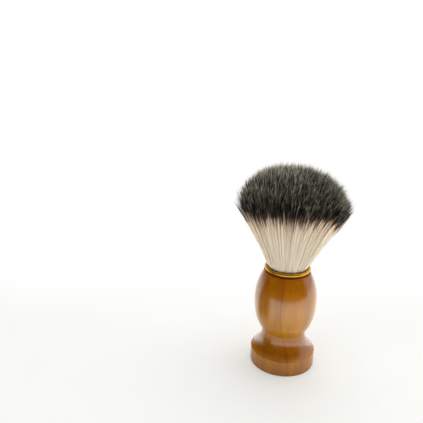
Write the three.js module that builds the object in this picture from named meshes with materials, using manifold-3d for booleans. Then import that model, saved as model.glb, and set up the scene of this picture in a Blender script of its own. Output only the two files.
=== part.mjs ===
// A shaving brush: a turned wooden handle glued up from two staves, a gilt collar with a rolled rim, and a
// knot of fine bristles, bound with thread and cast in a resin plug, that is bedded in the handle's socket.
// Millimetres, +Z up. The origin is the centre of the foot's underside and the turning axis is Z.

import * as THREE from "three";
import { mergeVertices } from "three/addons/utils/BufferGeometryUtils.js";
import Module from "manifold-3d";

// Handle, outside, from the foot up
const FOOT_RADIUS = 16.5;
const FOOT_HEIGHT = 7.9;
const FOOT_EDGE_ROUND = 0.8;
const SOLE_ROUND = 0.5;
const COVE_HEIGHT = 9.2; // of the hollow that sweeps from the foot's edge up to the neck
const NECK_RADIUS = 11.2;
const NECK_LENGTH = 1.7;
const CREASE_ROUND = 0.6; // where the neck meets the barrel
const BARREL_RADIUS = 16.05; // at the belly
const BARREL_HEIGHT = 32.3;
const SHOULDER_RADIUS = 11.65; // at the barrel's top
const SHOULDER_ROUND = 0.45;

// Glue joint between the two staves
const SEAM_OFFSET = 0.9; // where the joint crosses the base, along X
const SEAM_LEAN = 4; // degrees from the turning axis, towards -X
const GLUE_LINE = 0.1;

// Collar, pressed from sheet
const COLLAR_BORE_RADIUS = 9.8;
const COLLAR_WALL = 0.35;
const COLLAR_SKIRT = 8; // how far the skirt reaches below the shoulder, down to its ledge
const COLLAR_STAND = 0.8; // gap between the shoulder and the rim
const RIM_RADIUS = 0.85; // of the rolled rim's section
const COLLAR_CLEARANCE = 0.3;

// Knot root, cast in resin
const PLUG_RADIUS = 9.3;
const PLUG_HEIGHT = 10;
const PLUG_FLANGE = 1; // resin above and below the thread
const PLUG_DEPTH = 0.9; // of the top of the resin below the shoulder
const PLUG_CLEARANCE = 0.3;
const BED_THICKNESS = 1.2; // adhesive under the plug
const THREAD_RADIUS = 0.4;
const THREAD_PITCH = 1.4;
const THREAD_TURNS = 4;
const THREAD_CLEARANCE = 0.3;

// Bristles
const BACKING_HEIGHT = 1; // slice of resin that the strands are cast in
const STRAND_SINK = 0.4; // how far a strand reaches into its backing
const STRAND_ROWS = 11;
const FIRST_RING = 0.6; // radius of the innermost ring, as a share of the rows' spacing
const STRANDS_PER_RING = 6; // in a ring whose radius is the rows' spacing
const STRAND_RADIUS = 0.28; // at the root
const MOUTH_SWELL = 1.5; // how much fuller a strand is at the collar's mouth than at its root
const STRAND_FULL_RADIUS = 1; // where the strand's taper begins
const STRAND_SIDES = 3;
const STRAND_TAPER = 6; // length of the tapering end
const FIRST_BEND = 0.3; // share of the way up from the collar where a strand first bends
const FAN_BEND = 0.22; // how far the strands lag a straight line, as a share of their spread
const CROWN_HALF_WIDTH = 27.9; // of the spread knot at its rim, along X
const CROWN_HALF_DEPTH = 18.5; // the fan is flatter along Y
const CROWN_RIM = 33; // height above the shoulder of the rim's widest points
const CROWN_TOP = 54.4; // height of the crown above the shoulder
const CROWN_LEAN = 4; // degrees that the crown leans towards +X
const CROWN_PIVOT = 19; // height above the shoulder about which it leans
const CROWN_EVENNESS = 0.5; // 0 spaces the tips evenly in plan, 1 along the crown
const TIP_SCATTER = 0.25; // largest shift of a tip

// Facets
const TURNED_FACETS = 64;
const HIDDEN_FACETS = 40;
const ROUND_STEPS = 4;
const COVE_STEPS = 8;
const BARREL_STEPS = 16;
const RIM_STEPS = 14;
const THREAD_SIDES = 5;
const THREAD_STEPS_PER_TURN = 16;

// Places that follow from the sizes above
const coveTopZ = FOOT_HEIGHT + COVE_HEIGHT;
const barrelBottomZ = coveTopZ + NECK_LENGTH;
const shoulderZ = barrelBottomZ + BARREL_HEIGHT;
const ledgeZ = shoulderZ - COLLAR_SKIRT;
const backingTopZ = shoulderZ - PLUG_DEPTH;
const plugTopZ = backingTopZ - BACKING_HEIGHT;
const plugBottomZ = plugTopZ - PLUG_HEIGHT;
const socketFloorZ = plugBottomZ - BED_THICKNESS;
const rimCentreZ = shoulderZ + COLLAR_STAND + RIM_RADIUS;
const mouthZ = rimCentreZ + RIM_RADIUS;
const grooveRadius = PLUG_RADIUS - 2 * THREAD_RADIUS - THREAD_CLEARANCE;

const wasm = await Module();
wasm.setup();

const finishes = {
  wood: new THREE.MeshStandardMaterial({ color: 0xa06a2c, roughness: 0.28, metalness: 0 }),
  gilt: new THREE.MeshStandardMaterial({ color: 0xc8962e, roughness: 0.3, metalness: 1 }),
  resin: new THREE.MeshStandardMaterial({ color: 0xb9ae94, roughness: 0.5, metalness: 0 }),
  adhesive: new THREE.MeshStandardMaterial({ color: 0xd8cfae, roughness: 0.6, metalness: 0 }),
  thread: new THREE.MeshStandardMaterial({ color: 0xe6e0d2, roughness: 0.9, metalness: 0 }),
  bristle: new THREE.MeshStandardMaterial({ color: 0xcfc6b4, roughness: 0.55, metalness: 0 }),
};

const WELD = 1e-4; // vertices closer than this are one
const MOST_TRIM = 0.45; // share of an edge that one rounded corner may take

const corner = (r, z, round = 0) => ({ point: new THREE.Vector2(r, z), round });

// Turns corners, some of them rounded, into the points of a profile.
function outline(corners) {
  return corners.flatMap(({ point, round }, i) => {
    if (!round) return [point];
    const before = corners[i - 1].point.clone().sub(point);
    const after = corners[i + 1].point.clone().sub(point);
    const halfTurn = (Math.PI - Math.abs(before.angleTo(after))) / 2;
    const mostTrim = MOST_TRIM * Math.min(before.length(), after.length());
    const trim = Math.min(round * Math.tan(halfTurn), mostTrim);
    const start = point.clone().addScaledVector(before.normalize(), trim);
    const end = point.clone().addScaledVector(after.normalize(), trim);
    return new THREE.QuadraticBezierCurve(start, point, end).getPoints(ROUND_STEPS);
  });
}

// Revolves a profile of (radius, height) points about Z.
function turned(points, facets) {
  return new THREE.LatheGeometry(points, facets).rotateX(Math.PI / 2);
}

function solidFrom(geometry) {
  const bare = new THREE.BufferGeometry().setAttribute("position", geometry.getAttribute("position"));
  if (geometry.index) bare.setIndex(geometry.index);
  const merged = mergeVertices(bare, WELD);
  return new wasm.Manifold(
    new wasm.Mesh({
      numProp: 3,
      vertProperties: new Float32Array(merged.attributes.position.array),
      triVerts: new Uint32Array(merged.index.array),
    }),
  );
}

function geometryFrom(solid) {
  const { vertProperties, triVerts } = solid.getMesh();
  const geometry = new THREE.BufferGeometry();
  geometry.setAttribute("position", new THREE.BufferAttribute(vertProperties, 3));
  geometry.setIndex(new THREE.BufferAttribute(triVerts, 1));
  geometry.computeVertexNormals();
  return geometry;
}

function piece(name, geometry, material) {
  const mesh = new THREE.Mesh(geometry, material);
  mesh.name = name;
  return mesh;
}

// A hollow arc that leaves the neck upright and runs out to the foot's edge.
function covePoints() {
  const reach = FOOT_RADIUS - NECK_RADIUS;
  const radius = (reach * reach + COVE_HEIGHT * COVE_HEIGHT) / (2 * reach);
  const sweep = Math.asin(COVE_HEIGHT / radius);
  const points = [];
  for (let i = 1; i <= COVE_STEPS; i++) {
    const angle = sweep * (1 - i / COVE_STEPS);
    points.push(corner(NECK_RADIUS + radius * (1 - Math.cos(angle)), coveTopZ - radius * Math.sin(angle)));
  }
  return points;
}

// Part of an ellipse that is as wide as the neck at its foot and as wide as the shoulder at its top.
function barrelPoints() {
  const startAngle = -Math.acos(NECK_RADIUS / BARREL_RADIUS);
  const endAngle = Math.acos(SHOULDER_RADIUS / BARREL_RADIUS);
  const semiHeight = BARREL_HEIGHT / (Math.sin(endAngle) - Math.sin(startAngle));
  const bellyZ = barrelBottomZ - semiHeight * Math.sin(startAngle);
  const points = [];
  for (let i = 1; i < BARREL_STEPS; i++) {
    const angle = THREE.MathUtils.lerp(startAngle, endAngle, i / BARREL_STEPS);
    points.push(corner(BARREL_RADIUS * Math.cos(angle), bellyZ + semiHeight * Math.sin(angle)));
  }
  return points;
}

function handleProfile() {
  const counterboreRadius = COLLAR_BORE_RADIUS + COLLAR_WALL + COLLAR_CLEARANCE;
  const socketRadius = PLUG_RADIUS + PLUG_CLEARANCE;
  return outline([
    corner(0, 0),
    corner(FOOT_RADIUS, 0, SOLE_ROUND),
    corner(FOOT_RADIUS, FOOT_HEIGHT, FOOT_EDGE_ROUND),
    ...covePoints(),
    corner(NECK_RADIUS, barrelBottomZ, CREASE_ROUND),
    ...barrelPoints(),
    corner(SHOULDER_RADIUS, shoulderZ, SHOULDER_ROUND),
    corner(counterboreRadius, shoulderZ),
    corner(counterboreRadius, ledgeZ),
    corner(socketRadius, ledgeZ),
    corner(socketRadius, socketFloorZ),
    corner(0, socketFloorZ),
  ]);
}

// The blank is turned after the staves are glued, so both are cut from one revolved solid at the joint.
function staves() {
  const blank = solidFrom(turned(handleProfile(), TURNED_FACETS));
  const reach = 2 * Math.max(FOOT_RADIUS, BARREL_RADIUS) + shoulderZ;
  const halfSpace = (side) => {
    const block = new THREE.BoxGeometry(reach, 2 * reach, 4 * reach);
    block.translate((side * (reach - GLUE_LINE)) / 2, 0, 0);
    block.rotateY(THREE.MathUtils.degToRad(-SEAM_LEAN));
    return solidFrom(block.translate(SEAM_OFFSET, 0, 0));
  };
  return [
    piece("handle_left_stave", geometryFrom(blank.subtract(halfSpace(1))), finishes.wood),
    piece("handle_right_stave", geometryFrom(blank.subtract(halfSpace(-1))), finishes.wood),
  ];
}

// A sheet skirt that stands on the ledge in the socket, with its upper edge rolled outwards into a bead.
function collar() {
  const skirtRadius = COLLAR_BORE_RADIUS + COLLAR_WALL;
  const rimCentreRadius = COLLAR_BORE_RADIUS + RIM_RADIUS;
  const joinAngle = -Math.acos((skirtRadius - rimCentreRadius) / RIM_RADIUS);
  const rim = new THREE.EllipseCurve(
    rimCentreRadius, rimCentreZ, RIM_RADIUS, RIM_RADIUS, joinAngle, Math.PI,
  ).getPoints(RIM_STEPS);
  const profile = [
    new THREE.Vector2(COLLAR_BORE_RADIUS, ledgeZ),
    new THREE.Vector2(skirtRadius, ledgeZ),
    ...rim,
    new THREE.Vector2(COLLAR_BORE_RADIUS, ledgeZ),
  ];
  return piece("collar", turned(profile, TURNED_FACETS), finishes.gilt);
}

function plug() {
  const profile = outline([
    corner(0, plugBottomZ),
    corner(PLUG_RADIUS, plugBottomZ),
    corner(PLUG_RADIUS, plugBottomZ + PLUG_FLANGE),
    corner(grooveRadius, plugBottomZ + PLUG_FLANGE),
    corner(grooveRadius, plugTopZ - PLUG_FLANGE),
    corner(PLUG_RADIUS, plugTopZ - PLUG_FLANGE),
    corner(PLUG_RADIUS, plugTopZ),
    corner(0, plugTopZ),
  ]);
  return piece("knot_plug", turned(profile, HIDDEN_FACETS), finishes.resin);
}

function adhesiveBed() {
  const profile = outline([
    corner(0, socketFloorZ),
    corner(PLUG_RADIUS, socketFloorZ),
    corner(PLUG_RADIUS, plugBottomZ),
    corner(0, plugBottomZ),
  ]);
  return piece("socket_adhesive", turned(profile, HIDDEN_FACETS), finishes.adhesive);
}

class Helix extends THREE.Curve {
  constructor(radius, pitch, turns, startZ) {
    super();
    Object.assign(this, { radius, pitch, turns, startZ });
  }
  getPoint(share, target = new THREE.Vector3()) {
    const turn = share * this.turns;
    const angle = turn * 2 * Math.PI;
    return target.set(
      this.radius * Math.cos(angle),
      this.radius * Math.sin(angle),
      this.startZ + turn * this.pitch,
    );
  }
}

function bindingThread() {
  const windingHeight = THREAD_TURNS * THREAD_PITCH;
  const middleZ = (plugBottomZ + plugTopZ) / 2;
  const centreRadius = grooveRadius + THREAD_CLEARANCE + THREAD_RADIUS;
  const path = new Helix(centreRadius, THREAD_PITCH, THREAD_TURNS, middleZ - windingHeight / 2);
  const section = new THREE.Shape();
  for (let i = 0; i < THREAD_SIDES; i++) {
    const angle = (i / THREAD_SIDES) * 2 * Math.PI;
    const [x, y] = [THREAD_RADIUS * Math.cos(angle), THREAD_RADIUS * Math.sin(angle)];
    if (i) section.lineTo(x, y);
    else section.moveTo(x, y);
  }
  const steps = THREAD_TURNS * THREAD_STEPS_PER_TURN;
  const tube = new THREE.ExtrudeGeometry(section, { steps, extrudePath: path, bevelEnabled: false });
  console.log(`binding thread: least gap between turns ${leastGap(path, steps).toFixed(2)} mm`);
  return piece("binding_thread", tube, finishes.thread);
}

// Least clear distance between points of a wound tube that lie at least half a turn apart.
function leastGap(path, steps) {
  const points = path.getPoints(steps);
  const apart = THREAD_STEPS_PER_TURN / 2;
  let least = Infinity;
  for (let i = 0; i < points.length; i++) {
    for (let j = i + apart; j < points.length; j++) {
      least = Math.min(least, points[i].distanceTo(points[j]));
    }
  }
  return least - 2 * THREAD_RADIUS;
}

// Repeatable scatter, from -1 to 1.
function makeScatter(seed) {
  let state = seed;
  return () => {
    state = (Math.imul(state, 1664525) + 1013904223) >>> 0;
    return (state / 2 ** 32) * 2 - 1;
  };
}

// Strands stand in rings, as shares of the knot's radius, with none on the planes that part its quarters.
function strandPlaces() {
  const places = [];
  for (let row = 0; row < STRAND_ROWS; row++) {
    const ring = row + FIRST_RING;
    const share = ring / (STRAND_ROWS - 1 + FIRST_RING);
    const perQuarter = Math.max(1, Math.round((ring * STRANDS_PER_RING) / 4));
    for (let i = 0; i < 4 * perQuarter; i++) {
      const angle = ((i + 0.5) / perQuarter) * (Math.PI / 2);
      places.push({ share, angle, quarter: Math.floor(i / perQuarter) });
    }
  }
  return places;
}

const mouthRadius = COLLAR_BORE_RADIUS - COLLAR_CLEARANCE - MOUTH_SWELL * STRAND_RADIUS;

// How far a strand has spread at a share of the height between the collar's mouth and its tip.
const spreadAt = (share) => share - FAN_BEND * share * (1 - share);

// The outermost strands run straight through the collar's mouth, so the bundle's root is that much narrower.
function rootRadius() {
  const rise = FIRST_BEND * (shoulderZ + CROWN_RIM - mouthZ);
  const slope = (spreadAt(FIRST_BEND) * (CROWN_HALF_WIDTH - mouthRadius)) / rise;
  return mouthRadius - slope * (mouthZ - backingTopZ);
}

function pointInBundle({ share, angle }, bundleRadius, z) {
  const radius = share * bundleRadius;
  return new THREE.Vector3(radius * Math.cos(angle), radius * Math.sin(angle), z);
}

// Height of the crown's rim above the shoulder. The outermost strands are equally long, so those that spread
// less reach higher.
function rimHeight(angle) {
  const collarHeight = mouthZ - shoulderZ;
  const length = Math.hypot(CROWN_HALF_WIDTH - mouthRadius, CROWN_RIM - collarHeight);
  const reach = Math.hypot(CROWN_HALF_WIDTH * Math.cos(angle), CROWN_HALF_DEPTH * Math.sin(angle)) - mouthRadius;
  return collarHeight + Math.sqrt(length * length - reach * reach);
}

// Where a strand ends, on the leaning crown.
function tipPoint({ share, angle }, scatter) {
  const slope = (share * Math.PI) / 2;
  const spread = THREE.MathUtils.lerp(share, Math.sin(slope), CROWN_EVENNESS);
  const rim = rimHeight(angle);
  const tip = new THREE.Vector3(
    CROWN_HALF_WIDTH * spread * Math.cos(angle) + TIP_SCATTER * scatter(),
    CROWN_HALF_DEPTH * (spread * Math.sin(angle) + (TIP_SCATTER * scatter()) / CROWN_HALF_WIDTH),
    rim + (CROWN_TOP - rim) * Math.sqrt(1 - spread * spread) + TIP_SCATTER * scatter(),
  );
  const pivot = new THREE.Vector3(0, 0, CROWN_PIVOT);
  tip.sub(pivot).applyAxisAngle(new THREE.Vector3(0, 1, 0), THREE.MathUtils.degToRad(CROWN_LEAN));
  return tip.add(pivot).add(new THREE.Vector3(0, 0, shoulderZ));
}

// A prism that swells from its root in the backing and tapers to its tip, and flattens with the fan.
function strand(place, scatter) {
  const mouth = pointInBundle(place, mouthRadius, mouthZ);
  const tip = tipPoint(place, scatter);
  const pointAt = (share) =>
    mouth.clone().lerp(tip, spreadAt(share)).setZ(THREE.MathUtils.lerp(mouth.z, tip.z, share));
  const taperShare = 1 - STRAND_TAPER / (tip.z - mouth.z);
  const bendRadius = THREE.MathUtils.lerp(STRAND_RADIUS, STRAND_FULL_RADIUS, FIRST_BEND / taperShare);
  const rings = [
    { centre: pointInBundle(place, rootRadius(), backingTopZ - STRAND_SINK), radius: STRAND_RADIUS, spread: 0 },
    { centre: pointAt(FIRST_BEND), radius: bendRadius, spread: spreadAt(FIRST_BEND) },
    { centre: pointAt(taperShare), radius: STRAND_FULL_RADIUS, spread: spreadAt(taperShare) },
  ];
  const positions = rings.flatMap(({ centre, radius, spread }) => {
    const depth = radius * THREE.MathUtils.lerp(1, CROWN_HALF_DEPTH / CROWN_HALF_WIDTH, spread);
    return Array.from({ length: STRAND_SIDES }, (_, side) => {
      const angle = place.angle + (side / STRAND_SIDES) * 2 * Math.PI;
      return [centre.x + radius * Math.cos(angle), centre.y + depth * Math.sin(angle), centre.z];
    }).flat();
  });
  positions.push(...tip.toArray());
  const at = (ring, side) => ring * STRAND_SIDES + (side % STRAND_SIDES);
  const last = rings.length - 1;
  const apex = rings.length * STRAND_SIDES;
  const index = [];
  for (let side = 0; side < STRAND_SIDES; side++) {
    for (let ring = 0; ring < last; ring++) {
      index.push(at(ring, side), at(ring, side + 1), at(ring + 1, side + 1));
      index.push(at(ring, side), at(ring + 1, side + 1), at(ring + 1, side));
    }
    index.push(at(last, side), at(last, side + 1), apex);
  }
  for (let side = 1; side < STRAND_SIDES - 1; side++) index.push(at(0, 0), at(0, side + 1), at(0, side));
  const geometry = new THREE.BufferGeometry();
  geometry.setAttribute("position", new THREE.Float32BufferAttribute(positions, 3));
  geometry.setIndex(index);
  return geometry;
}

function backingQuarter(quarter) {
  const sector = new THREE.Shape();
  sector.moveTo(0, 0);
  sector.lineTo(PLUG_RADIUS, 0);
  sector.absarc(0, 0, PLUG_RADIUS, 0, Math.PI / 2, false);
  const slice = new THREE.ExtrudeGeometry(sector, {
    depth: BACKING_HEIGHT,
    bevelEnabled: false,
    curveSegments: HIDDEN_FACETS / 4,
  });
  return slice.rotateZ((quarter * Math.PI) / 2).translate(0, 0, plugTopZ);
}

// The knot's strands share four nodes, each fused to its quarter of the backing.
function bristles() {
  const scatter = makeScatter(7);
  const quarters = ["back_right", "back_left", "front_left", "front_right"];
  const parts = quarters.map((_, quarter) => [solidFrom(backingQuarter(quarter))]);
  for (const place of strandPlaces()) parts[place.quarter].push(solidFrom(strand(place, scatter)));
  return quarters.map((side, quarter) =>
    piece(`bristles_${side}`, geometryFrom(wasm.Manifold.union(parts[quarter])), finishes.bristle),
  );
}

const handle = new THREE.Group();
handle.add(...staves(), collar());

const knot = new THREE.Group();
knot.add(adhesiveBed(), plug(), bindingThread(), ...bristles());

const brush = new THREE.Group();
brush.add(handle, knot);

export default brush;
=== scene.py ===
"""A shaving brush on a pale floor: a lacquered two-stave handle, a gilt collar and a fan-shaped knot.

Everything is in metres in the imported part's frame: +Z up, the origin under the foot, -Y to the viewer.
"""

from math import acos, asin, cos, pi, radians, sin, sqrt, tan

import bmesh
import bpy
import numpy as np
from mathutils import Matrix, Vector

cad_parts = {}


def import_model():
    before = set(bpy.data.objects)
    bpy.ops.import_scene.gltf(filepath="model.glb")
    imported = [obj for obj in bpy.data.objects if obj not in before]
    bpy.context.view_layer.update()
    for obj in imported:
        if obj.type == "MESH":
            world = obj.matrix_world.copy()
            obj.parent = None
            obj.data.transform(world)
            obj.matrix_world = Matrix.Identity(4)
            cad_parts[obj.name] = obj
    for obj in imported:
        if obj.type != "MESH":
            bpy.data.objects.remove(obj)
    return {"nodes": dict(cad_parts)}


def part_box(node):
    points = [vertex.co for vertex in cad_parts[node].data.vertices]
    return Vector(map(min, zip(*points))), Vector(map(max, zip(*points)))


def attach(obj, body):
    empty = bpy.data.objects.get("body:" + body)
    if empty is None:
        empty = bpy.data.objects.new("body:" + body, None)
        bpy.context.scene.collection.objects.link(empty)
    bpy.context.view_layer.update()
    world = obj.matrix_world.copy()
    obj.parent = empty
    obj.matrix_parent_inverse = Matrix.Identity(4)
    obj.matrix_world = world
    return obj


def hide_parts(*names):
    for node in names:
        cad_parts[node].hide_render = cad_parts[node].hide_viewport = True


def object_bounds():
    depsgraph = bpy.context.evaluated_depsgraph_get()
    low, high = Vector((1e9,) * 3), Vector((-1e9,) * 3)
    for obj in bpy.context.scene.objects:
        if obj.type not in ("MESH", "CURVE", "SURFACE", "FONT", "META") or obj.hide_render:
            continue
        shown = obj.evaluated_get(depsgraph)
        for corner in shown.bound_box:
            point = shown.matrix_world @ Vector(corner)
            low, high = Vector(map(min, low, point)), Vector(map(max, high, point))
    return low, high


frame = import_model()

MM = 0.001
CAD_BOX = [list(corner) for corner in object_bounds()]

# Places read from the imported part
SHOULDER_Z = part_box("handle_left_stave")[1].z
COLLAR_LOW, COLLAR_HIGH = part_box("collar")
MOUTH_Z = COLLAR_HIGH.z
LEDGE_Z = COLLAR_LOW.z
BED_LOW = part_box("socket_adhesive")[0].z
KNOT_NODES = ("bristles_back_right", "bristles_back_left", "bristles_front_left", "bristles_front_right")

# Handle
FOOT_RADIUS = 16.5 * MM
FOOT_HEIGHT = 7.9 * MM
FOOT_EDGE_ROUND = 0.8 * MM
SOLE_ROUND = 0.5 * MM
COVE_HEIGHT = 9.2 * MM
NECK_RADIUS = 11.2 * MM
NECK_LENGTH = 1.7 * MM
CREASE_ROUND = 0.6 * MM
BARREL_RADIUS = 16.05 * MM
SHOULDER_RADIUS = 11.65 * MM
SHOULDER_ROUND = 0.6 * MM
SOCKET_RADIUS = 9.6 * MM

# Joint between the staves
SEAM_OFFSET = 0.9 * MM  # where it crosses the sole, along X
SEAM_LEAN = radians(4)
SEAM_BOW = 2.8 * MM  # how far the seam bows to the left between the foot and the shoulder
BOW_RISE = 1.3  # above 1, the bow is strongest above the middle
GLUE_LINE = 0.004 * MM
STAIN = (0.25, 0.065, 0.001, 1)  # glue-darkened wood along the joint
STAIN_STRENGTH = 0.58
STAIN_WAVER = 0.9 * MM  # how far the stain reaches at most where the glue hasn't spread
STAIN_SPREAD = 0.7 * MM  # how much farther it reaches where the glue has spread
STAIN_EDGE = 0.5 * MM

# Collar
COLLAR_WALL = 0.35 * MM
RIM_RADIUS = 0.85 * MM
COLLAR_BORE = COLLAR_HIGH.x - 2 * RIM_RADIUS
COLLAR_CLEARANCE = 0.08 * MM

# Knot
STRANDS = 12000
STRAND_SIDES = 3
STRAND_RADIUS = (0.09, 0.15)  # in mm
SLIM_ROOT = 0.4  # how much thinner a strand is at its root, as a share
SLIM_START = 0.25  # share of the way from the tip to the root where it starts to slim
TAPER_LENGTH = 4 * MM
TAPER_END = 0.2  # thickness next to the tip, as a share of the full thickness
TAPER_POWER = 0.7
STATIONS = (-0.07, 0, 0.2, 0.4, 0.58, 0.74, 0.88, 1.0)  # shares of the way from the mouth to the tip
MOUTH_RADIUS = 9.85 * MM  # of the bundle where it leaves the collar
CROWN_HALF_WIDTH = 27.6 * MM
CROWN_HALF_DEPTH = 18 * MM
CROWN_RIM = 32.6 * MM  # height of the crown's widest points above the shoulder
CROWN_TOP = 53.3 * MM
CROWN_LEAN = radians(4.0)
CROWN_PIVOT = 19 * MM
CROWN_EVENNESS = 0.5
CROWN_FULLNESS = 2.0  # 2 makes the crown part of an ellipsoid, more makes its shoulders fuller
LEFT_FULLNESS = 0.5  # the crown's left shoulder is that much fuller
FAN_BEND = 0.19  # how strongly the strands lag a straight line
TURN_IN = 2.0 * MM  # how far the tips of the strands turn back up from the fan's slope
TURN_RIGHT = 0.9 * MM
TURN_POWER = 6  # the higher, the nearer to the tip a strand turns
TURN_FADE = 6  # the higher, the nearer to the crown's left and right sides the turn fades
FACET_TURNS = 37  # full turns about their own axes that a quarter's prisms make from first to last
FACET_STRIDE = 7  # keeps the last turn just short of full

# Clumps: many small wisps, and fewer tufts that hold several wisps
TUFTS = 700
WISPS = 7000
CLUMP_JITTER = 0.012  # as a share of the knot's radius
TUFT_PULL = (0.0, 0.4)  # how far a strand's tip is drawn to its clump's centre, as a share
WISP_PULL = (0.65, 0.95)

# Unevenness
SEED = 11
SHARE_JITTER = 0.004
ANGLE_JITTER = 0.01
STRAND_LENGTHS = 0.4 * MM
TUFT_LENGTHS = 0.15 * MM
WISP_LENGTHS = 0.5 * MM
SHORTFALL = 1.2 * MM  # mean length by which strands end short of the longest
TIP_SCATTER = 0.16 * MM
WANDER = 0.12 * MM
RIM_FLARE = 2.6 * MM  # how far the outermost strands may bend out at their tips
RIM_LEAST_FLARE = 0.7  # share of it at the front and back
RIM_SIDE_FLARE = 0.65  # share that is added at the left and right
RIM_START = 0.9  # share of the knot's radius beyond which strands flare
FLARE_DEPTH = 0.6  # share of the flare that goes to the front and back
FLARE_RISE = 0.25  # how much the flare rises at the right and falls at the left
FLARE_DROP = 0.2  # and how much it falls all around
STRAY_RIM = 0.97  # strays grow beyond this share of the knot's radius
STRAY_SIDE = 0.93  # and where the cosine of their angle is beyond this
STRAY_SHARE = 0.1
STRAY_DROP = (1, 4)  # in mm
STRAY_REACH = 1.5 * MM  # how far stray tips may leave the part's box

# Colour along the strands
COLOUR_LENGTH = 30 * MM  # from the tip to where the colours end
TIP_TO_BAND = (0.02, 0.09)  # shares of it between which the tip's contrast gives way to the band's
BAND_TO_ROOT = (0.24, 0.32)  # and the band's to the root's
BAND_RISE = 0.45  # the colours follow each other faster by that share in one place at the front right
BAND_RISE_ANGLE = radians(306)
BAND_RISE_REACH = radians(28)
STRAND_BANDS = 1.1 * MM  # how far the band shifts from strand to strand
WISP_BANDS = 1.2 * MM
TUFT_BANDS = 0.6 * MM
STEADY_TIP = 6 * MM  # the shift fades out towards the tip within this length
TONE_SHARES = (0.06, 0.58, 0.36)  # of the tuft, the wisp and the strand itself in a strand's tone

TURN_STEPS = 192
SHARP_ANGLE = radians(35)
ON_AXIS = 1e-7  # a profile's point that is nearer to the axis counts as on it
CUT_TOLERANCE = 1e-8


# ---------------------------------------------------------------- meshes

def smooth(mesh):
    mesh.shade_smooth()
    mesh.set_sharp_from_angle(angle=SHARP_ANGLE)


def new_mesh(name, points, faces):
    mesh = bpy.data.meshes.new(name)
    mesh.from_pydata(points, [], faces)
    mesh.validate()
    piece = bpy.data.objects.new(name, mesh)
    bpy.context.scene.collection.objects.link(piece)
    smooth(mesh)
    return piece


def rounded(corners, steps=6):
    """A profile from (r, z, round) corners, with the given corners rounded."""
    most_trim = 0.45  # share of an edge that one rounded corner may take
    points = []
    for i, (r, z, size) in enumerate(corners):
        here = Vector((r, z))
        if not size:
            points.append(here)
            continue
        before = Vector(corners[i - 1][:2]) - here
        after = Vector(corners[i + 1][:2]) - here
        half_turn = (pi - before.angle(after)) / 2
        trim = min(size * tan(half_turn), most_trim * min(before.length, after.length))
        start, end = here + before.normalized() * trim, here + after.normalized() * trim
        for k in range(steps + 1):
            t = k / steps
            points.append(start * (1 - t) ** 2 + here * (2 * t * (1 - t)) + end * t ** 2)
    return points


def turned(profile, steps=TURN_STEPS):
    """Vertices and faces of a profile turned about Z. A profile ends on the axis, or closes on itself."""
    points, rings = [], []
    for r, z in profile:
        if r < ON_AXIS:
            rings.append([len(points)] * steps)
            points.append((0, 0, z))
            continue
        rings.append(list(range(len(points), len(points) + steps)))
        points += [(r * cos(2 * pi * k / steps), r * sin(2 * pi * k / steps), z) for k in range(steps)]
    faces = []
    closed = profile[0][0] > ON_AXIS
    pairs = list(zip(rings, rings[1:] + rings[:1]))
    for low, high in pairs if closed else pairs[:-1]:
        for k in range(steps):
            following = (k + 1) % steps
            face = []
            for index in (low[k], low[following], high[following], high[k]):
                if index not in face:
                    face.append(index)
            if len(face) > 2:
                faces.append(face)
    return points, faces


# ---------------------------------------------------------------- handle

def cove_points(steps=24):
    reach = FOOT_RADIUS - NECK_RADIUS
    radius = (reach ** 2 + COVE_HEIGHT ** 2) / (2 * reach)
    sweep = asin(COVE_HEIGHT / radius)
    top = FOOT_HEIGHT + COVE_HEIGHT
    for i in range(1, steps + 1):
        angle = sweep * (1 - i / steps)
        yield (NECK_RADIUS + radius * (1 - cos(angle)), top - radius * sin(angle), 0)


def barrel_points(steps=64):
    bottom = FOOT_HEIGHT + COVE_HEIGHT + NECK_LENGTH
    start, end = -acos(NECK_RADIUS / BARREL_RADIUS), acos(SHOULDER_RADIUS / BARREL_RADIUS)
    semi_height = (SHOULDER_Z - bottom) / (sin(end) - sin(start))
    belly = bottom - semi_height * sin(start)
    for i in range(1, steps):
        angle = start + (end - start) * i / steps
        yield (BARREL_RADIUS * cos(angle), belly + semi_height * sin(angle), 0)


def handle_profile():
    bore = COLLAR_BORE + COLLAR_WALL + COLLAR_CLEARANCE
    return rounded([
        (0, 0, 0),
        (FOOT_RADIUS, 0, SOLE_ROUND),
        (FOOT_RADIUS, FOOT_HEIGHT, FOOT_EDGE_ROUND),
        *cove_points(),
        (NECK_RADIUS, FOOT_HEIGHT + COVE_HEIGHT + NECK_LENGTH, CREASE_ROUND),
        *barrel_points(),
        (SHOULDER_RADIUS, SHOULDER_Z, SHOULDER_ROUND),
        (bore, SHOULDER_Z, 0),
        (bore, LEDGE_Z, 0),
        (SOCKET_RADIUS, LEDGE_Z, 0),
        (SOCKET_RADIUS, BED_LOW, 0),
        (0, BED_LOW, 0),
    ])


def shift_by_bow(body, amount):
    """Move the wood sideways by how far the seam bows at each height."""
    for vert in body.verts:
        share = min(1, max(0, (vert.co.z - FOOT_HEIGHT) / (SHOULDER_Z - FOOT_HEIGHT)))
        vert.co.x += amount * sin(pi * share ** BOW_RISE)


def cut_at_seam(body, side):
    """Keep one side of the leaning plane of the joint, and close the cut."""
    normal = Vector((cos(SEAM_LEAN), 0, sin(SEAM_LEAN)))
    place = Vector((SEAM_OFFSET, 0, 0)) + normal * (side * GLUE_LINE / 2)
    everything = body.verts[:] + body.edges[:] + body.faces[:]
    cut = bmesh.ops.bisect_plane(
        body, geom=everything, dist=CUT_TOLERANCE,
        plane_co=place, plane_no=normal * -side, clear_outer=True,
    )
    rim = [e for e in cut["geom_cut"] if isinstance(e, bmesh.types.BMEdge)]
    bmesh.ops.contextual_create(body, geom=rim)
    bmesh.ops.triangulate(body, faces=[f for f in body.faces if len(f.verts) > 4])


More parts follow.
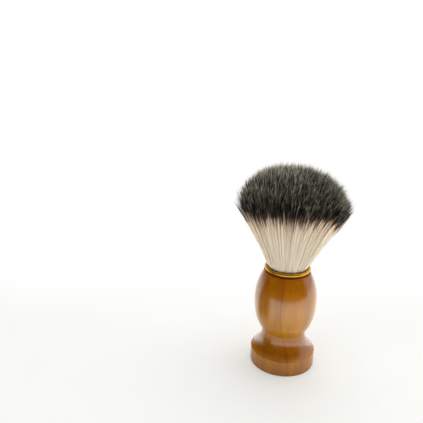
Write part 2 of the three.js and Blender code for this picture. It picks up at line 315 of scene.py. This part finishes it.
def stave(name, side, node, finish):
    """One half of the handle. side is 1 for the half towards +X and -1 for the other."""
    piece = new_mesh(name, *turned(handle_profile()))
    body = bmesh.new()
    body.from_mesh(piece.data)
    bmesh.ops.recalc_face_normals(body, faces=body.faces)
    shift_by_bow(body, SEAM_BOW)
    cut_at_seam(body, side)
    bmesh.ops.recalc_face_normals(body, faces=body.faces)
    shift_by_bow(body, -SEAM_BOW)
    body.to_mesh(piece.data)
    body.free()
    smooth(piece.data)
    piece.data.materials.append(finish)
    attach(piece, "root")
    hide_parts(node)


def collar(finish, steps=40):
    """A sheet skirt whose upper edge is rolled outwards into a bead."""
    skirt = COLLAR_BORE + COLLAR_WALL
    bead_r, bead_z = COLLAR_BORE + RIM_RADIUS, MOUTH_Z - RIM_RADIUS
    join = -acos((skirt - bead_r) / RIM_RADIUS)
    profile = [(COLLAR_BORE, LEDGE_Z), (skirt, LEDGE_Z)]
    for i in range(steps + 1):
        angle = join + (pi - join) * i / steps
        profile.append((bead_r + RIM_RADIUS * cos(angle), bead_z + RIM_RADIUS * sin(angle)))
    piece = new_mesh("collar_gilt", *turned(profile))
    piece.data.materials.append(finish)
    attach(piece, "root")
    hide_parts("collar")


# ---------------------------------------------------------------- knot

def crown_point(share, angle):
    """Points on the crown before it leans, for shares of the way from its centre to its rim."""
    spread = (1 - CROWN_EVENNESS) * share + CROWN_EVENNESS * np.sin(share * pi / 2)
    x, y = CROWN_HALF_WIDTH * np.cos(angle), CROWN_HALF_DEPTH * np.sin(angle)
    reach = CROWN_HALF_WIDTH - MOUTH_RADIUS
    side_length = sqrt(reach ** 2 + (SHOULDER_Z + CROWN_RIM - MOUTH_Z) ** 2)
    rim = MOUTH_Z + np.sqrt(side_length ** 2 - (np.hypot(x, y) - MOUTH_RADIUS) ** 2)
    top = SHOULDER_Z + CROWN_TOP
    fullness = CROWN_FULLNESS + LEFT_FULLNESS * (1 - np.cos(angle)) / 2
    z = rim + (top - rim) * np.maximum(0, 1 - spread ** fullness) ** (1 / fullness)
    return np.stack([x * spread, y * spread, z], 1)


def lean(points):
    pivot = SHOULDER_Z + CROWN_PIVOT
    x, z = points[:, 0].copy(), points[:, 2] - pivot
    leaned = points.copy()
    leaned[:, 0] = x * cos(CROWN_LEAN) + z * sin(CROWN_LEAN)
    leaned[:, 2] = pivot - x * sin(CROWN_LEAN) + z * cos(CROWN_LEAN)
    return leaned


def in_disk(share, angle):
    return np.stack([share * np.cos(angle), share * np.sin(angle)], 1)


def seeds_in_disk(count):
    """Evenly spread places in a unit disk, as a share of its radius and an angle."""
    i = np.arange(count) + 0.5
    return np.sqrt(i / count), (i * pi * (3 - sqrt(5))) % (2 * pi)


def nearest_clumps(places, count, rng, batch=2000):
    """The clump that each strand belongs to, and that clump's centre."""
    share, angle = seeds_in_disk(count)
    centres = in_disk(np.clip(share + rng.normal(0, CLUMP_JITTER, count), 0, 1), angle)
    nearest = np.empty(len(places), int)
    for start in range(0, len(places), batch):
        gap = ((places[start:start + batch, None] - centres[None]) ** 2).sum(2)
        nearest[start:start + batch] = gap.argmin(1)
    return nearest, centres[nearest]


def shared_normal(clump, spread, rng):
    """One random value for all strands of a clump."""
    return rng.normal(0, spread, clump.max() + 1)[clump]


def uneven_tips(tip, mouth, tuft, wisp, rng):
    """Longer and shorter strands, and whole clumps that stand a little high or low."""
    length_off = rng.normal(0, STRAND_LENGTHS, STRANDS) + shared_normal(tuft, TUFT_LENGTHS, rng)
    length_off += shared_normal(wisp, WISP_LENGTHS, rng)
    length_off += SHORTFALL - rng.exponential(SHORTFALL, STRANDS)
    along = tip - mouth
    along /= np.linalg.norm(along, axis=1)[:, None]
    uneven = tip + along * length_off[:, None]
    uneven[:, :2] += rng.normal(0, TIP_SCATTER, (STRANDS, 2))
    return uneven


def flared_tips(tip, share, angle, rng):
    """Tips that bend out at the rim, with a few strays that hang lower at the left and right."""
    flare = np.clip((share - RIM_START) / (1 - RIM_START), 0, 1) ** 2 * rng.uniform(0, 1, STRANDS) ** 2
    flare *= RIM_LEAST_FLARE + RIM_SIDE_FLARE * np.cos(angle) ** 4
    upward = FLARE_RISE * np.cos(angle) - FLARE_DROP
    outward = np.stack([np.cos(angle), FLARE_DEPTH * np.sin(angle), upward], 1)
    flared = tip + RIM_FLARE * flare[:, None] * outward
    at_side = (share > STRAY_RIM) & (np.abs(np.cos(angle)) > STRAY_SIDE)
    stray = at_side & (rng.random(STRANDS) < STRAY_SHARE)
    flared[stray, 2] -= rng.uniform(*STRAY_DROP, stray.sum()) * MM
    flared[:, 0] = np.clip(flared[:, 0], CAD_BOX[0][0] - STRAY_REACH, CAD_BOX[1][0] + STRAY_REACH)
    return flared


def bent_strands(mouth, tip, across, rng):
    """Centre lines that lag the fan's slope and turn back up at their tips."""
    wander = rng.normal(0, WANDER, (STRANDS, 2))
    turn_in = (TURN_RIGHT - TURN_IN * across) * (1 - across ** TURN_FADE)
    points = np.empty((STRANDS, len(STATIONS), 3))
    for k, t in enumerate(STATIONS):
        lagging = t - FAN_BEND * t * (1 - t) if t > 0 else t * (1 - FAN_BEND)
        points[:, k] = mouth + (tip - mouth) * lagging
        points[:, k, 2] = mouth[:, 2] + (tip[:, 2] - mouth[:, 2]) * t
        points[:, k, :2] += wander * sin(pi * max(t, 0))
        points[:, k, 0] += turn_in * max(t, 0) ** TURN_POWER
    return points


def strand_paths(rng):
    """Centre lines of all strands, their points' distances from the tip, their clumps and angles."""
    share, angle = seeds_in_disk(STRANDS)
    share = np.clip(share + rng.normal(0, SHARE_JITTER, STRANDS), 0, 1)
    angle = angle + rng.normal(0, ANGLE_JITTER, STRANDS)
    place = in_disk(share, angle)
    tuft, tuft_centre = nearest_clumps(place, TUFTS, rng)
    wisp, wisp_centre = nearest_clumps(place, WISPS, rng)
    tuft_pull = rng.uniform(*TUFT_PULL, STRANDS)[:, None]
    wisp_pull = rng.uniform(*WISP_PULL, STRANDS)[:, None]
    drawn = place * (1 - wisp_pull) + wisp_centre * wisp_pull
    drawn = drawn * (1 - tuft_pull) + tuft_centre * tuft_pull
    drawn_share = np.minimum(1, np.hypot(drawn[:, 0], drawn[:, 1]))
    drawn_angle = np.arctan2(drawn[:, 1], drawn[:, 0])

    mouth = np.hstack([MOUTH_RADIUS * place, np.full((STRANDS, 1), MOUTH_Z)])
    tip = lean(crown_point(drawn_share, drawn_angle))
    tip = uneven_tips(tip, mouth, tuft, wisp, rng)
    tip = flared_tips(tip, share, angle, rng)
    points = bent_strands(mouth, tip, drawn[:, 0], rng)
    steps = np.linalg.norm(np.diff(points, axis=1), axis=2)
    from_tip = np.concatenate([np.cumsum(steps[:, ::-1], axis=1)[:, ::-1], np.zeros((STRANDS, 1))], 1)
    return points, from_tip, tuft, wisp, angle % (2 * pi)


def strand_widths(from_tip, rng):
    full = rng.uniform(*STRAND_RADIUS, STRANDS)[:, None] * MM
    rootward = np.clip((from_tip / from_tip[:, :1] - SLIM_START) / (1 - SLIM_START), 0, 1)
    taper = np.clip(from_tip / TAPER_LENGTH, 0, 1) ** TAPER_POWER
    return full * (TAPER_END + (1 - TAPER_END) * taper) * (1 - SLIM_ROOT * rootward)


def prism_points(points, widths):
    """Vertices of prisms about the given centre lines: rings from the root up, then the tip."""
    direction = points[:, -1] - points[:, 0]
    direction /= np.linalg.norm(direction, axis=1)[:, None]
    side = np.cross(direction, np.array([0.0, 1.0, 0.0]))
    side /= np.linalg.norm(side, axis=1)[:, None]
    other = np.cross(direction, side)
    turn = np.linspace(0, 2 * pi, len(points) * FACET_STRIDE)[::FACET_STRIDE] * FACET_TURNS
    vertices = []
    for ring in range(points.shape[1] - 1):
        for k in range(STRAND_SIDES):
            a = turn + 2 * pi * k / STRAND_SIDES
            out = side * np.cos(a)[:, None] + other * np.sin(a)[:, None]
            vertices.append(points[:, ring] + out * widths[:, ring, None])
    vertices.append(points[:, -1])
    return np.stack(vertices, 1)


def prism_faces(count, rings):
    """Triangles of that many prisms: their sides, their pointed ends and their bases."""
    per_prism = rings * STRAND_SIDES + 1
    around = [(k, (k + 1) % STRAND_SIDES) for k in range(STRAND_SIDES)]
    pattern = []
    for start in range(0, (rings - 1) * STRAND_SIDES, STRAND_SIDES):
        for k, following in around:
            a, b = start + k, start + following
            pattern += [(a, b, b + STRAND_SIDES), (a, b + STRAND_SIDES, a + STRAND_SIDES)]
    last = (rings - 1) * STRAND_SIDES
    pattern += [(last + k, last + following, per_prism - 1) for k, following in around]
    pattern += [(0, k + 1, k) for k in range(1, STRAND_SIDES - 1)]
    firsts = np.arange(count) * per_prism
    return (np.array(pattern)[None] + firsts[:, None, None]).reshape(-1, 3)


def strand_mesh(name, points, widths, from_tip, tone):
    """One mesh of closed prisms, each with a pointed tip, and what their material reads at each vertex."""
    vertices = prism_points(points, widths)
    count, per_prism = vertices.shape[:2]
    faces = prism_faces(count, points.shape[1] - 1)
    mesh = bpy.data.meshes.new(name)
    mesh.vertices.add(count * per_prism)
    mesh.vertices.foreach_set("co", vertices.astype(np.float32).ravel())
    mesh.loops.add(len(faces) * 3)
    mesh.loops.foreach_set("vertex_index", faces.astype(np.int32).ravel())
    mesh.polygons.add(len(faces))
    mesh.polygons.foreach_set("loop_start", np.arange(0, len(faces) * 3, 3, dtype=np.int32))
    mesh.update(calc_edges=True)
    mesh.shade_smooth()
    tip_distance = np.concatenate([np.repeat(from_tip[:, :-1], STRAND_SIDES, 1), from_tip[:, -1:]], 1)
    tones = np.repeat(tone[:, None], per_prism, 1)
    for label, values in (("tip_distance", tip_distance), ("tone", tones)):
        attribute = mesh.attributes.new(label, "FLOAT", "POINT")
        attribute.data.foreach_set("value", values.astype(np.float32).ravel())
    piece = bpy.data.objects.new(name, mesh)
    bpy.context.scene.collection.objects.link(piece)
    return piece


def strand_tones(tuft, wisp, rng):
    """How light each strand is, from 0 to 1."""
    of_tuft = rng.uniform(0, 1, tuft.max() + 1)[tuft]
    of_wisp = rng.uniform(0, 1, wisp.max() + 1)[wisp]
    of_strand = rng.uniform(0, 1, STRANDS)
    return TONE_SHARES[0] * of_tuft + TONE_SHARES[1] * of_wisp + TONE_SHARES[2] * of_strand


def colour_distances(from_tip, tuft, wisp, angle, rng):
    """Distances from the tip with the unevenness of the dark band worked in."""
    shift = rng.normal(0, STRAND_BANDS, STRANDS) + shared_normal(wisp, WISP_BANDS, rng)
    shift += shared_normal(tuft, TUFT_BANDS, rng)
    faster = 1 + BAND_RISE * np.exp(-((angle - BAND_RISE_ANGLE) / BAND_RISE_REACH) ** 2)
    return from_tip * faster[:, None] + shift[:, None] * np.clip(from_tip / STEADY_TIP, 0, 1)


def knot(finish):
    """Four meshes of strands, one for each quarter of the knot."""
    rng = np.random.default_rng(SEED)
    points, from_tip, tuft, wisp, angle = strand_paths(rng)
    widths = strand_widths(from_tip, rng)
    tone = strand_tones(tuft, wisp, rng)
    band = colour_distances(from_tip, tuft, wisp, angle, rng)
    for quarter, node in enumerate(KNOT_NODES):
        mine = (angle >= quarter * pi / 2) & (angle < (quarter + 1) * pi / 2)
        name = "strands_" + node.removeprefix("bristles_")
        piece = strand_mesh(name, points[mine], widths[mine], band[mine], tone[mine])
        piece.data.materials.append(finish)
        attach(piece, "root")
        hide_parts(node)


# ---------------------------------------------------------------- materials

class Graph:
    """A node tree, with short calls that add nodes and give their outputs."""

    def __init__(self, tree):
        self.tree = tree

    def add(self, kind, inputs=None, **settings):
        node = self.tree.nodes.new("ShaderNode" + kind)
        for key, value in settings.items():
            setattr(node, key, value)
        for key, value in (inputs or {}).items():
            self.feed(node.inputs[key], value)
        return node

    def feed(self, socket, value):
        """Link a node's output to a socket, or set the socket to a constant."""
        if isinstance(value, bpy.types.NodeSocket):
            self.tree.links.new(value, socket)
        else:
            socket.default_value = value

    def place(self, scale=(1, 1, 1), shift=(0, 0, 0)):
        """Object coordinates, scaled and shifted."""
        where = self.add("TexCoord").outputs["Object"]
        return self.add("Mapping", {"Vector": where, "Location": shift, "Scale": scale}).outputs["Vector"]

    def attribute(self, name):
        """A value that the mesh holds at each vertex."""
        return self.add("Attribute", attribute_name=name, attribute_type="GEOMETRY").outputs["Fac"]

    def axes(self, vector):
        return self.add("SeparateXYZ", {"Vector": vector}).outputs

    def noise(self, vector, scale, detail=4.0, roughness=0.5, distortion=0.0):
        found = self.add("TexNoise", {
            "Vector": vector, "Scale": scale, "Detail": detail, "Roughness": roughness,
            "Distortion": distortion,
        })
        return found.outputs["Fac"]

    def ramp(self, factor, stops):
        """Colours at places from 0 to 1. A single number stands for a grey."""
        node = self.add("ValToRGB", {"Fac": factor})
        elements = node.color_ramp.elements
        while len(elements) < len(stops):
            elements.new(0.5)
        for element, (position, colour) in zip(elements, stops):
            element.position = position
            element.color = (*colour, 1) if isinstance(colour, tuple) else (colour, colour, colour, 1)
        return node.outputs["Color"]

    def blend(self, factor, first, second, mode="MIX", clamp=False):
        node = self.add("Mix", data_type="RGBA", blend_type=mode, clamp_result=clamp)
        for socket, value in ((node.inputs[0], factor), (node.inputs[6], first), (node.inputs[7], second)):
            self.feed(socket, value)
        return node.outputs[2]

    def share(self, value, start, end, **settings):
        """How far value has come from start to end, from 0 to 1."""
        inputs = {"Value": value, "From Min": start, "From Max": end}
        return self.add("MapRange", inputs, **settings).outputs["Result"]

    def step(self, value, start, end):
        """0 before start and 1 after end, with a soft change between them."""
        return self.share(value, start, end, interpolation_type="SMOOTHSTEP")

    def math(self, operation, first, second=0.0):
        return self.add("Math", {0: first, 1: second}, operation=operation).outputs[0]

    def product(self, first, *others):
        for other in others:
            first = self.math("MULTIPLY", first, other)
        return first

    def bump(self, height, strength, distance):
        inputs = {"Height": height, "Strength": strength, "Distance": distance}
        return self.add("Bump", inputs).outputs["Normal"]

    def glow(self, strength, colour=(1, 1, 1, 1)):
        return self.add("Emission", {"Color": colour, "Strength": strength}).outputs[0]

    def mix_shaders(self, factor, first, second):
        return self.add("MixShader", {0: factor, 1: first, 2: second}).outputs[0]


class Finish(Graph):
    """A material with one Principled shader, whose inputs are given by name."""

    def __init__(self, name, **values):
        self.material = bpy.data.materials.new(name)
        self.material.use_nodes = True
        super().__init__(self.material.node_tree)
        self.shader = self.tree.nodes["Principled BSDF"]
        for label, value in values.items():
            self.shader.inputs[label.replace("_", " ")].default_value = value

    def out(self, socket, label):
        self.tree.links.new(socket, self.shader.inputs[label])


def painted_light_and_shade(g):
    """Painted light and shade by height: the wood is made redder and darker at the shoulder and in the
    cove, which face up towards the dark room, and paler below both, which face the bright floor.
    """
    height = g.share(g.axes(g.place())["Z"], 0.0, SHOULDER_Z)
    return g.ramp(height, [
        (0.15, (1.19, 1.25, 1)),
        (0.2, (0.82, 0.73, 0.7)),
        (0.3, (1.02, 0.95, 0.9)),
        (0.4, (1.13, 1.32, 1.2)),
        (0.6, (1.08, 1.27, 1.2)),
        (0.9, (0.84, 0.76, 0.7)),
    ])


def glue_stain(g):
    """How far the glue has darkened the wood, from 1 at the joint to 0. It has spread at both ends."""
    spot = g.axes(g.place())
    height = g.share(spot["Z"], FOOT_HEIGHT, SHOULDER_Z)
    bow = g.product(g.math("SINE", g.product(g.math("POWER", height, BOW_RISE), pi)), SEAM_BOW)
    straight = g.math("ADD", spot["X"], bow)
    upright = g.math("ADD", straight, g.product(spot["Z"], tan(SEAM_LEAN)))
    off = g.math("ABSOLUTE", g.math("SUBTRACT", upright, SEAM_OFFSET))
    waver = g.product(g.noise(g.place(scale=(1, 1, 0.4)), 900, detail=2), STAIN_WAVER)
    spread = g.ramp(height, [(0.0, 0), (0.04, 1), (0.12, 1), (0.2, 0), (0.55, 0), (0.75, 0.6), (0.92, 1)])
    reach = g.math("ADD", waver, g.product(spread, STAIN_SPREAD))
    return g.step(g.math("SUBTRACT", reach, off), 0.0, STAIN_EDGE)


def wood(name, dark, light, shift):
    """Fine-grained wood under a clear lacquer. shift moves the grain."""
    g = Finish(name, Roughness=0.5, Specular_IOR_Level=0.0, Coat_Weight=1.0, Coat_Roughness=0.17,
               Coat_IOR=1.66)
    figure = g.noise(g.place((1, 1, 0.05), shift), 420, detail=5, roughness=0.6, distortion=0.4)
    body = g.ramp(figure, [(0.2, dark), (0.8, light)])
    broad = g.noise(g.place((1, 1, 0.18), shift), 95, detail=2)
    cloud = g.ramp(broad, [(0.3, (0.82, 0.80, 0.76)), (0.7, (1.1, 1.08, 1.04))])
    body = g.blend(0.8, body, cloud, "MULTIPLY")
    pores = g.noise(g.place((1, 1, 0.035), shift), 2600, detail=2, roughness=0.6)
    pore_lines = g.ramp(pores, [(0.34, (0.62, 0.55, 0.45)), (0.44, 1)])
    body = g.blend(0.25, body, pore_lines, "MULTIPLY")
    # painted shade at the shoulder and in the cove, painted light on the lower barrel and the foot
    body = g.blend(1.0, body, painted_light_and_shade(g), "MULTIPLY")
    body = g.blend(g.product(glue_stain(g), STAIN_STRENGTH), body, STAIN)
    g.out(body, "Base Color")
    g.out(g.bump(pores, 0.12, 0.04 * MM), "Normal")
    ripple = g.noise(g.place(shift=shift), 260, detail=1)
    g.out(g.bump(ripple, 0.08, 0.2 * MM), "Coat Normal")
    return g.material


def gilt():
    """Gold-tone metal with a soft gloss, faint tarnish and scratches around the ring."""
    g = Finish("gilt", Metallic=1.0)
    tarnish = g.noise(g.place(), 700, detail=4, roughness=0.6)
    g.out(g.ramp(tarnish, [(0.35, (0.57, 0.3, 0.03)), (0.65, (0.7, 0.385, 0.05))]), "Base Color")
    rough = g.add("MapRange", {"Value": tarnish, "To Min": 0.36, "To Max": 0.5})
    g.out(rough.outputs["Result"], "Roughness")
    scratches = g.noise(g.place(scale=(1, 1, 8)), 900, detail=3)
    g.out(g.bump(scratches, 0.15, 0.03 * MM), "Normal")
    return g.material


def strand_colours(g, along):
    """Grey-olive tips, a black band and cream roots, by the place along the strand."""
    return g.ramp(along, [
        (0.0, (0.9, 0.88, 0.7)),
        (0.027, (0.64, 0.625, 0.485)),
        (0.05, (0.15, 0.147, 0.108)),
        (0.075, (0.03, 0.0292, 0.0225)),
        (0.11, (0.011, 0.0107, 0.0085)),
        (0.17, (0.012, 0.0115, 0.01)),
        (0.24, (0.0068, 0.006, 0.0052)),
        (0.3, (0.006, 0.003, 0.002)),
        (0.325, (0.09, 0.03, 0.014)),
        (0.355, (0.37, 0.18, 0.1)),
        (0.395, (0.82, 0.66, 0.49)),
        (0.5, (1.0, 0.89, 0.73)),
        (0.85, (1.0, 0.92, 0.77)),
    ])


def strand_contrast(g, along):
    """How a strand's tone makes it lighter or darker.

    It does so mildly at the tip, strongly in the band, where single light strands stand out from black
    ones, partly as lighter strands and partly as painted glints along the fibres, and slightly at the
    root.
    """
    tone = g.attribute("tone")
    at_tip = g.ramp(tone, [(0.2, 0.6), (0.5, 0.95), (0.8, 1.14)])
    # in the band, the lightest strands are partly lighter fibres and partly painted glints
    band_tone_and_glints = g.ramp(tone, [
        (0.2, 0.03),
        (0.5, 0.12),
        (0.62, (1.2, 1.2, 1.17)),
        (0.7, (6.5, 6.5, 6.4)),
        (0.86, (15.0, 15.0, 14.5)),
    ])
    at_root = g.ramp(tone, [(0.12, (0.58, 0.5, 0.41)), (0.3, (0.92, 0.89, 0.85)), (0.5, 1)])
    above_root = g.blend(g.share(along, *TIP_TO_BAND), at_tip, band_tone_and_glints)
    return g.blend(g.share(along, *BAND_TO_ROOT), above_root, at_root)


def bristle():
    g = Finish("bristle", Roughness=0.42, Specular_IOR_Level=0.18)
    along = g.share(g.attribute("tip_distance"), 0.0, COLOUR_LENGTH)
    body = g.blend(1.0, strand_colours(g, along), strand_contrast(g, along), "MULTIPLY", clamp=True)
    g.out(body, "Base Color")
    return g.material


def hidden(name, dark, light, scale, roughness):
    """Cured resin, adhesive or thread, inside the socket."""
    g = Finish(name, Roughness=roughness)
    grain = g.noise(g.place(), scale, detail=4)
    g.out(g.ramp(grain, [(0.3, dark), (0.7, light)]), "Base Color")
    g.out(g.bump(grain, 0.3, 0.1 * MM), "Normal")
    return g.material


def dress(node, material):
    piece = frame["nodes"][node]
    piece.data.materials.clear()
    piece.data.materials.append(material)


# ---------------------------------------------------------------- studio

FLOOR_FRONT = 0.35  # radius of the floor's rounded front
FRONT_SWEEP = radians(155)
FRONT_STEPS = 32
FLOOR_REACH = 2.0
CORNER_DEPTH = 0.3  # how far the front corners are before the X axis, at the right, or behind it
FADE = (-0.01, 0.11)  # the camera sees the floor fade into white between these depths along Y
NEAR_FADE = 0.35  # the least fade, which keeps the shadow around the foot soft and pale
GLOW = 2.1  # light that the floor adds to the brush beyond what the camera sees
GLOW_REACH = (0.015, 0.12)  # it grows over these distances from the brush
SHINE_REACH = (0.018, 0.08)  # where the floor turns white in mirror reflections, by distance
SHINE_FRONT = (-0.37, -0.15)  # and by depth, towards the dark front of the room
SHADE_WAY = (-0.996, -0.087, 0)  # the side on which the floor is dark to all but the camera
SHADE = 0.92
SHADE_REACH = (0.025, 0.06)
SHADE_WIDTH = (0.84, 0.98)  # cosines of the angle from SHADE_WAY between which the shade grows
RIGHT_DIM = 0.4  # how much less light the floor adds on the side across from the shade
RIGHT_WIDTH = (-0.2, -0.95)  # cosines of the angle from SHADE_WAY, as above
BLACK, WHITE = (0, 0, 0, 1), (1, 1, 1, 1)

ROOM_TURN = radians(17)
ROOM_FRONT = (0.13, 0.08, 0.03, 1)  # warm dark of the room behind the camera
ROOM_BACK = (-0.12, 0.12)  # the room turns white between these depths of a ray's direction
ROOM_TOP = (0.7, 0.95)  # and between these heights, but not in reflections
ROOM_LEFT = (-0.45, -0.7)  # it stays dark to the left,
ROOM_RAISED = (0.05, 0.3)  # above the floor

CAMERA_PLACE = (-0.03870, -0.22953, 0.15342)
CAMERA_PITCH = radians(17.47)
CAMERA_ROLL = radians(1.05)
LENS = 42.22
SENSOR_WIDTH = 36
NEAR_CLIP = 0.01
LAMP_TARGET = (0, 0, 0.05)


def floor_finish():
    """The camera sees the floor fade into white. Other rays see it bright, but dark at the left."""
    g = Finish("pale_floor", Roughness=0.6, Specular_IOR_Level=0.1)
    fleck = g.noise(g.place(), 60, detail=3)
    g.out(g.ramp(fleck, [(0.3, (0.9, 0.93, 0.905)), (0.7, (0.915, 0.945, 0.92))]), "Base Color")
    rays = g.add("LightPath").outputs
    depth = g.axes(g.place())["Y"]
    from_brush = g.add("VectorMath", {0: g.place()}, operation="LENGTH").outputs["Value"]
    way = g.add("VectorMath", {0: g.place()}, operation="NORMALIZE").outputs["Vector"]
    towards_shade = g.add("VectorMath", {0: way, 1: SHADE_WAY}, operation="DOT_PRODUCT").outputs["Value"]

    faded = g.product(g.math("MAXIMUM", g.step(depth, *FADE), NEAR_FADE), rays["Is Camera Ray"])
    seen = g.mix_shaders(faded, g.shader.outputs[0], g.glow(1.0))

    unseen = g.math("SUBTRACT", 1.0, rays["Is Camera Ray"])
    dimmed = g.math("SUBTRACT", 1.0, g.product(g.step(towards_shade, *RIGHT_WIDTH), RIGHT_DIM))
    soft = g.product(g.step(from_brush, *GLOW_REACH), g.product(dimmed, GLOW))
    mirrored = g.product(g.step(from_brush, *SHINE_REACH), g.step(depth, *SHINE_FRONT))
    chosen = g.add("Mix", {0: rays["Is Glossy Ray"], 2: soft, 3: mirrored}, data_type="FLOAT").outputs[0]
    bounce = g.glow(g.product(unseen, chosen))
    lit = g.add("AddShader", {0: seen, 1: bounce}).outputs[0]

    shade = g.product(g.step(towards_shade, *SHADE_WIDTH), g.step(from_brush, *SHADE_REACH))
    shaded = g.product(unseen, SHADE, shade)
    result = g.mix_shaders(shaded, lit, g.glow(0.0, BLACK))
    g.tree.links.new(result, g.tree.nodes["Material Output"].inputs["Surface"])
    return g.material


def floor():
    """A wide sheet that ends in an arc towards the viewer."""
    points = [
        (FLOOR_REACH, -CORNER_DEPTH, 0),
        (FLOOR_REACH, FLOOR_REACH, 0),
        (-FLOOR_REACH, FLOOR_REACH, 0),
        (-FLOOR_REACH, CORNER_DEPTH, 0),
    ]
    for i in range(FRONT_STEPS + 1):
        angle = pi + FRONT_SWEEP * i / FRONT_STEPS
        points.append((FLOOR_FRONT * cos(angle), FLOOR_FRONT * sin(angle), 0))
    piece = new_mesh("floor", points, [tuple(range(len(points)))])
    piece.data.materials.append(floor_finish())


def world():
    """The camera sees white everywhere. The brush is lit by a room that is dark towards the viewer."""
    room = bpy.data.worlds.new("studio")
    bpy.context.scene.world = room
    room.use_nodes = True
    g = Graph(room.node_tree)
    rays = g.add("LightPath").outputs
    way = g.add("TexCoord").outputs["Generated"]
    turned_way = g.axes(g.add("Mapping", {"Vector": way, "Rotation": (0, 0, ROOM_TURN)}).outputs["Vector"])
    left_side = g.product(g.share(turned_way["X"], *ROOM_LEFT), g.share(turned_way["Z"], *ROOM_RAISED))
    back = g.math("SUBTRACT", g.step(turned_way["Y"], *ROOM_BACK), left_side)
    top = g.math("SUBTRACT", g.step(turned_way["Z"], *ROOM_TOP), rays["Is Glossy Ray"])
    white = g.math("MAXIMUM", g.math("MAXIMUM", back, top), rays["Is Camera Ray"])
    light = g.tree.nodes["Background"]
    g.tree.links.new(g.blend(white, ROOM_FRONT, WHITE), light.inputs["Color"])
    light.inputs["Strength"].default_value = 1.0


def lamp(name, place, size, watts):
    """A round lamp over the brush that reflections don't show."""
    data = bpy.data.lights.new(name, "AREA")
    data.shape = "DISK"
    data.size = size
    data.energy = watts
    piece = bpy.data.objects.new(name, data)
    piece.location = place
    piece.rotation_mode = "QUATERNION"
    piece.rotation_quaternion = (Vector(LAMP_TARGET) - Vector(place)).to_track_quat("-Z", "Y")
    piece.visible_glossy = False
    bpy.context.scene.collection.objects.link(piece)


def camera():
    forward = Vector((0, cos(CAMERA_PITCH), -sin(CAMERA_PITCH)))
    level_up = Vector((0, sin(CAMERA_PITCH), cos(CAMERA_PITCH)))
    level_right = Vector((1, 0, 0))
    right = level_right * cos(CAMERA_ROLL) + level_up * sin(CAMERA_ROLL)
    up = level_up * cos(CAMERA_ROLL) - level_right * sin(CAMERA_ROLL)
    data = bpy.data.cameras.new("camera")
    data.sensor_width = SENSOR_WIDTH
    data.lens = LENS
    data.clip_start = NEAR_CLIP
    piece = bpy.data.objects.new("camera", data)
    turn = Matrix((right, up, -forward)).transposed().to_4x4()
    piece.matrix_world = Matrix.Translation(CAMERA_PLACE) @ turn
    bpy.context.scene.collection.objects.link(piece)
    bpy.context.scene.camera = piece


# ---------------------------------------------------------------- the whole

camera()
floor()
world()
lamp("key", (0.12, 0.12, 0.85), size=0.9, watts=3.4)
lamp("fill", (-0.43, -0.35, 0.75), size=0.5, watts=0.6)

left_wood = wood(
    "lacquered_wood_left", dark=(0.34, 0.105, 0.0008), light=(0.48, 0.185, 0.0016), shift=(0.4, 0.1, 0)
)
right_wood = wood(
    "lacquered_wood_right", dark=(0.35, 0.11, 0.0008), light=(0.49, 0.19, 0.002), shift=(0.9, 0.7, 0.3)
)
adhesive = hidden("adhesive", dark=(0.55, 0.5, 0.34), light=(0.68, 0.62, 0.43), scale=500, roughness=0.5)
resin = hidden("resin", dark=(0.4, 0.34, 0.22), light=(0.5, 0.44, 0.3), scale=300, roughness=0.35)
thread = hidden("thread", dark=(0.68, 0.63, 0.53), light=(0.8, 0.76, 0.66), scale=2500, roughness=0.9)

stave("stave_left", -1, "handle_left_stave", left_wood)
stave("stave_right", 1, "handle_right_stave", right_wood)
collar(gilt())
knot(bristle())
dress("socket_adhesive", adhesive)
dress("knot_plug", resin)
dress("binding_thread", thread)

view = bpy.context.scene.view_settings
view.view_transform = "Standard"
